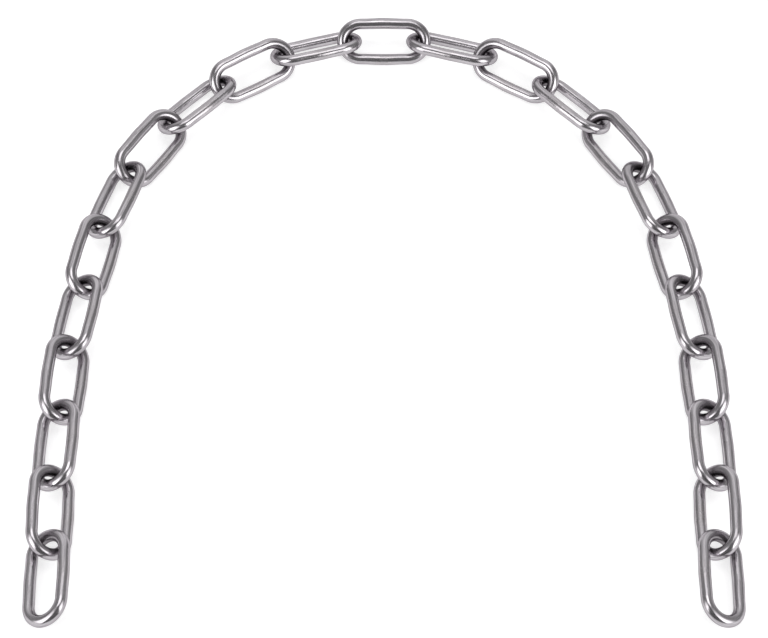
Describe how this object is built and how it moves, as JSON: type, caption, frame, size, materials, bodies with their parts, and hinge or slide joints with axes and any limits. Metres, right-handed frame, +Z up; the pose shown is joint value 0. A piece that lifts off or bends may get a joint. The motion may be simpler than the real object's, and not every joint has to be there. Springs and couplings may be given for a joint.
{
  "type": "long-link steel chain",
  "caption": "Length of welded long-link chain in bright round steel wire, laid flat in an arch, each link tilted the other way from the last and free to swing.",
  "frame": {"origin": "on the surface that the chain lies on, under the middle of the chain's bounding box", "axes": "+Z up from the surface; +Y from the open ends of the arch towards its crown; +X along the crown link, to the right as seen from the open ends"},
  "size_m": [0.4564, 0.4846, 0.0237],
  "materials": {
    "bright_steel_wire": "bright drawn round wire, polished by tumbling, with small weld marks"
  },
  "bodies": {
    "crown": {"link_crown": "bright_steel_wire"},
    "right_01": {"link_right_01": "bright_steel_wire"},
    "right_02": {"link_right_02": "bright_steel_wire"},
    "right_03": {"link_right_03": "bright_steel_wire"},
    "right_04": {"link_right_04": "bright_steel_wire"},
    "right_05": {"link_right_05": "bright_steel_wire"},
    "right_06": {"link_right_06": "bright_steel_wire"},
    "right_07": {"link_right_07": "bright_steel_wire"},
    "right_08": {"link_right_08": "bright_steel_wire"},
    "right_09": {"link_right_09": "bright_steel_wire"},
    "right_10": {"link_right_10": "bright_steel_wire"},
    "right_11": {"link_right_11": "bright_steel_wire"},
    "left_01": {"link_left_01": "bright_steel_wire"},
    "left_02": {"link_left_02": "bright_steel_wire"},
    "left_03": {"link_left_03": "bright_steel_wire"},
    "left_04": {"link_left_04": "bright_steel_wire"},
    "left_05": {"link_left_05": "bright_steel_wire"},
    "left_06": {"link_left_06": "bright_steel_wire"},
    "left_07": {"link_left_07": "bright_steel_wire"},
    "left_08": {"link_left_08": "bright_steel_wire"},
    "left_09": {"link_left_09": "bright_steel_wire"},
    "left_10": {"link_left_10": "bright_steel_wire"},
    "left_11": {"link_left_11": "bright_steel_wire"}
  },
  "joints": [
    {"name": "pivot_right_01", "type": "hinge", "parent": "crown", "child": "right_01", "pos_m": [0.02502, 0.22778, 0.01178], "axis": [0, 0, 1], "range_deg": [-4, 36]},
    {"name": "pivot_right_02", "type": "hinge", "parent": "right_01", "child": "right_02", "pos_m": [0.07314, 0.21399, 0.01178], "axis": [0, 0, -1], "range_deg": [-36, 4]},
    {"name": "pivot_right_03", "type": "hinge", "parent": "right_02", "child": "right_03", "pos_m": [0.11558, 0.18746, 0.01178], "axis": [0, 0, 1], "range_deg": [-6, 34]},
    {"name": "pivot_right_04", "type": "hinge", "parent": "right_03", "child": "right_04", "pos_m": [0.15035, 0.15146, 0.01178], "axis": [0, 0, -1], "range_deg": [-31, 9]},
    {"name": "pivot_right_05", "type": "hinge", "parent": "right_04", "child": "right_05", "pos_m": [0.17761, 0.10948, 0.01178], "axis": [0, 0, 1], "range_deg": [-5, 35]},
    {"name": "pivot_right_06", "type": "hinge", "parent": "right_05", "child": "right_06", "pos_m": [0.19307, 0.06188, 0.01178], "axis": [0, 0, -1], "range_deg": [-27, 13]},
    {"name": "pivot_right_07", "type": "hinge", "parent": "right_06", "child": "right_07", "pos_m": [0.20262, 0.01275, 0.01178], "axis": [0, 0, 1], "range_deg": [-17, 23]},
    {"name": "pivot_right_08", "type": "hinge", "parent": "right_07", "child": "right_08", "pos_m": [0.20959, -0.03681, 0.01178], "axis": [0, 0, -1], "range_deg": [-25, 15]},
    {"name": "pivot_right_09", "type": "hinge", "parent": "right_08", "child": "right_09", "pos_m": [0.21221, -0.08679, 0.01178], "axis": [0, 0, 1], "range_deg": [-18, 22]},
    {"name": "pivot_right_10", "type": "hinge", "parent": "right_09", "child": "right_10", "pos_m": [0.21308, -0.13683, 0.01178], "axis": [0, 0, -1], "range_deg": [-22, 18]},
    {"name": "pivot_right_11", "type": "hinge", "parent": "right_10", "child": "right_11", "pos_m": [0.21224, -0.18508, 0.01178], "axis": [0, 0, 1], "range_deg": [-20, 20]},
    {"name": "pivot_left_01", "type": "hinge", "parent": "crown", "child": "left_01", "pos_m": [-0.02502, 0.22778, 0.01178], "axis": [0, 0, -1], "range_deg": [-4, 36]},
    {"name": "pivot_left_02", "type": "hinge", "parent": "left_01", "child": "left_02", "pos_m": [-0.07314, 0.21399, 0.01178], "axis": [0, 0, 1], "range_deg": [-36, 4]},
    {"name": "pivot_left_03", "type": "hinge", "parent": "left_02", "child": "left_03", "pos_m": [-0.11558, 0.18746, 0.01178], "axis": [0, 0, -1], "range_deg": [-6, 34]},
    {"name": "pivot_left_04", "type": "hinge", "parent": "left_03", "child": "left_04", "pos_m": [-0.15035, 0.15146, 0.01178], "axis": [0, 0, 1], "range_deg": [-31, 9]},
    {"name": "pivot_left_05", "type": "hinge", "parent": "left_04", "child": "left_05", "pos_m": [-0.17761, 0.10948, 0.01178], "axis": [0, 0, -1], "range_deg": [-5, 35]},
    {"name": "pivot_left_06", "type": "hinge", "parent": "left_05", "child": "left_06", "pos_m": [-0.19307, 0.06188, 0.01178], "axis": [0, 0, 1], "range_deg": [-27, 13]},
    {"name": "pivot_left_07", "type": "hinge", "parent": "left_06", "child": "left_07", "pos_m": [-0.20262, 0.01275, 0.01178], "axis": [0, 0, -1], "range_deg": [-17, 23]},
    {"name": "pivot_left_08", "type": "hinge", "parent": "left_07", "child": "left_08", "pos_m": [-0.20959, -0.03681, 0.01178], "axis": [0, 0, 1], "range_deg": [-25, 15]},
    {"name": "pivot_left_09", "type": "hinge", "parent": "left_08", "child": "left_09", "pos_m": [-0.21221, -0.08679, 0.01178], "axis": [0, 0, -1], "range_deg": [-18, 22]},
    {"name": "pivot_left_10", "type": "hinge", "parent": "left_09", "child": "left_10", "pos_m": [-0.21308, -0.13683, 0.01178], "axis": [0, 0, 1], "range_deg": [-22, 18]},
    {"name": "pivot_left_11", "type": "hinge", "parent": "left_10", "child": "left_11", "pos_m": [-0.21224, -0.18508, 0.01178], "axis": [0, 0, -1], "range_deg": [-20, 20]}
  ]
}
